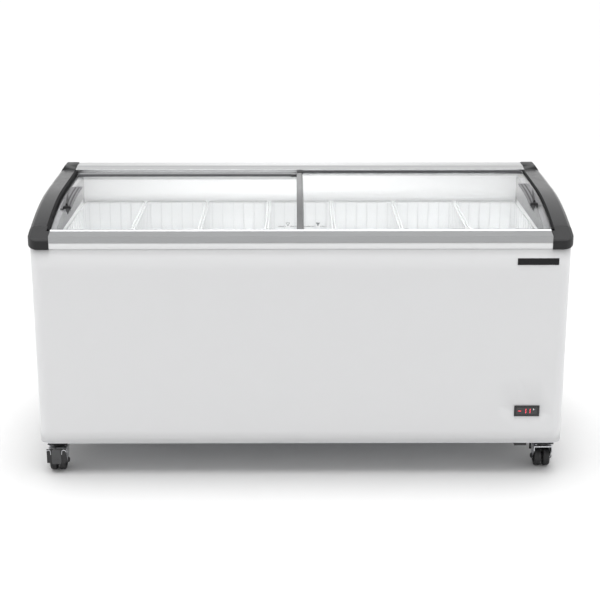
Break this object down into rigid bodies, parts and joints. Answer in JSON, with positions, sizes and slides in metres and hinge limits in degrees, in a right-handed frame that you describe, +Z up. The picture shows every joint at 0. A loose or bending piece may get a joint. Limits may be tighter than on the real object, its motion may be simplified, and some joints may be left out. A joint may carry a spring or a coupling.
{
  "type": "chest freezer",
  "caption": "Display chest freezer with curved top, sliding glass lids, hanging wire baskets, front temperature display and swivelling twin-wheel casters.",
  "frame": {"origin": "on the floor under the middle of the freezer's length and depth", "axes": "+X along the length, to the right seen from the front; +Y from the front to the back; +Z up"},
  "size_m": [1.62, 0.67, 0.85],
  "materials": {
    "white_steel": "satin",
    "white_plastic": "satin",
    "liner_white": "satin",
    "foam": "matte",
    "zinc_steel": "satin",
    "brushed_aluminium": "satin",
    "dark_grey_plastic": "satin",
    "light_grey_plastic": "satin",
    "black_plastic": "satin",
    "black_gloss": "gloss",
    "black_steel": "satin",
    "clear_glass": "gloss",
    "white_wire": "satin",
    "copper_tube": "satin",
    "wheel_black": "satin",
    "grey_rubber": "matte"
  },
  "bodies": {
    "cabinet": {"cabinet_wrap": "white_steel", "rear_panel": "zinc_steel", "bottom_pan": "zinc_steel", "foam_insulation": "foam", "inner_liner": "liner_white", "side_grille": "white_plastic", "front_sill": "white_plastic", "base_rail_left": "black_steel", "base_rail_right": "black_steel", "compressor": "black_steel", "fan_motor": "black_steel", "condenser": "brushed_aluminium", "front_rail": "brushed_aluminium", "rear_rail": "brushed_aluminium", "cord_inlet": "black_plastic", "display_housing": "black_plastic", "evaporator_coil": "copper_tube", "drain_plug": "grey_rubber", "display_lens": "black_gloss", "name_plate": "black_gloss", "side_trim_left": "dark_grey_plastic", "front_corner_left": "dark_grey_plastic", "rear_corner_left": "dark_grey_plastic", "inner_panel_left": "light_grey_plastic", "side_trim_right": "dark_grey_plastic", "front_corner_right": "dark_grey_plastic", "rear_corner_right": "dark_grey_plastic", "inner_panel_right": "light_grey_plastic", "caster_plate_front_left": "black_steel", "caster_plate_front_right": "black_steel", "caster_plate_rear_left": "black_steel", "caster_plate_rear_right": "black_steel"},
    "left_lid": {"left_lid_glass": "clear_glass", "left_lid_front_edge": "dark_grey_plastic", "left_lid_rear_edge": "brushed_aluminium", "left_lid_meeting_bar": "brushed_aluminium", "left_lid_handle": "dark_grey_plastic"},
    "right_lid": {"right_lid_glass": "clear_glass", "right_lid_front_edge": "dark_grey_plastic", "right_lid_rear_edge": "brushed_aluminium", "right_lid_meeting_bar": "brushed_aluminium", "right_lid_handle": "dark_grey_plastic"},
    "basket_1": {"basket_1": "white_wire"},
    "basket_2": {"basket_2": "white_wire"},
    "basket_3": {"basket_3": "white_wire"},
    "basket_4": {"basket_4": "white_wire"},
    "basket_5": {"basket_5": "white_wire"},
    "basket_6": {"basket_6": "white_wire"},
    "basket_7": {"basket_7": "white_wire"},
    "swivel_front_left": {"caster_fork_front_left": "zinc_steel"},
    "wheels_front_left": {"caster_wheels_front_left": "wheel_black"},
    "brake_front_left": {"caster_brake_front_left": "black_plastic"},
    "swivel_front_right": {"caster_fork_front_right": "zinc_steel"},
    "wheels_front_right": {"caster_wheels_front_right": "wheel_black"},
    "brake_front_right": {"caster_brake_front_right": "black_plastic"},
    "swivel_rear_left": {"caster_fork_rear_left": "zinc_steel"},
    "wheels_rear_left": {"caster_wheels_rear_left": "wheel_black"},
    "swivel_rear_right": {"caster_fork_rear_right": "zinc_steel"},
    "wheels_rear_right": {"caster_wheels_rear_right": "wheel_black"},
    "fan": {"fan_blade": "black_plastic"}
  },
  "joints": [
    {"name": "left_lid_slide", "type": "slide", "parent": "cabinet", "child": "left_lid", "axis": [1, 0, 0], "range_m": [0, 0.69]},
    {"name": "right_lid_slide", "type": "slide", "parent": "cabinet", "child": "right_lid", "axis": [1, 0, 0], "range_m": [-0.69, 0]},
    {"name": "basket_1_lift", "type": "slide", "parent": "cabinet", "child": "basket_1", "axis": [0, 0, 1], "range_m": [0, 0.025]},
    {"name": "basket_2_lift", "type": "slide", "parent": "cabinet", "child": "basket_2", "axis": [0, 0, 1], "range_m": [0, 0.025]},
    {"name": "basket_3_lift", "type": "slide", "parent": "cabinet", "child": "basket_3", "axis": [0, 0, 1], "range_m": [0, 0.025]},
    {"name": "basket_4_lift", "type": "slide", "parent": "cabinet", "child": "basket_4", "axis": [0, 0, 1], "range_m": [0, 0.025]},
    {"name": "basket_5_lift", "type": "slide", "parent": "cabinet", "child": "basket_5", "axis": [0, 0, 1], "range_m": [0, 0.025]},
    {"name": "basket_6_lift", "type": "slide", "parent": "cabinet", "child": "basket_6", "axis": [0, 0, 1], "range_m": [0, 0.025]},
    {"name": "basket_7_lift", "type": "slide", "parent": "cabinet", "child": "basket_7", "axis": [0, 0, 1], "range_m": [0, 0.025]},
    {"name": "swivel_front_left_turn", "type": "hinge", "parent": "cabinet", "child": "swivel_front_left", "pos_m": [-0.756, -0.271, 0.0757], "axis": [0, 0, 1], "continuous": true},
    {"name": "wheels_front_left_roll", "type": "hinge", "parent": "swivel_front_left", "child": "wheels_front_left", "pos_m": [-0.756, -0.283, 0.03], "axis": [1, 0, 0], "continuous": true},
    {"name": "brake_front_left_press", "type": "hinge", "parent": "swivel_front_left", "child": "brake_front_left", "pos_m": [-0.756, -0.2916, 0.0646], "axis": [1, 0, 0], "range_deg": [0, 6]},
    {"name": "swivel_front_right_turn", "type": "hinge", "parent": "cabinet", "child": "swivel_front_right", "pos_m": [0.756, -0.271, 0.0757], "axis": [0, 0, 1], "continuous": true},
    {"name": "wheels_front_right_roll", "type": "hinge", "parent": "swivel_front_right", "child": "wheels_front_right", "pos_m": [0.756, -0.259, 0.03], "axis": [1, 0, 0], "continuous": true},
    {"name": "brake_front_right_press", "type": "hinge", "parent": "swivel_front_right", "child": "brake_front_right", "pos_m": [0.756, -0.2504, 0.0646], "axis": [-1, 0, 0], "range_deg": [0, 6]},
    {"name": "swivel_rear_left_turn", "type": "hinge", "parent": "cabinet", "child": "swivel_rear_left", "pos_m": [-0.756, 0.265, 0.0757], "axis": [0, 0, 1], "continuous": true},
    {"name": "wheels_rear_left_roll", "type": "hinge", "parent": "swivel_rear_left", "child": "wheels_rear_left", "pos_m": [-0.756, 0.277, 0.03], "axis": [1, 0, 0], "continuous": true},
    {"name": "swivel_rear_right_turn", "type": "hinge", "parent": "cabinet", "child": "swivel_rear_right", "pos_m": [0.756, 0.265, 0.0757], "axis": [0, 0, 1], "continuous": true},
    {"name": "wheels_rear_right_roll", "type": "hinge", "parent": "swivel_rear_right", "child": "wheels_rear_right", "pos_m": [0.756, 0.277, 0.03], "axis": [1, 0, 0], "continuous": true},
    {"name": "fan_spin", "type": "hinge", "parent": "cabinet", "child": "fan", "pos_m": [0.65, -0.18, 0.232], "axis": [0, 1, 0], "continuous": true}
  ]
}
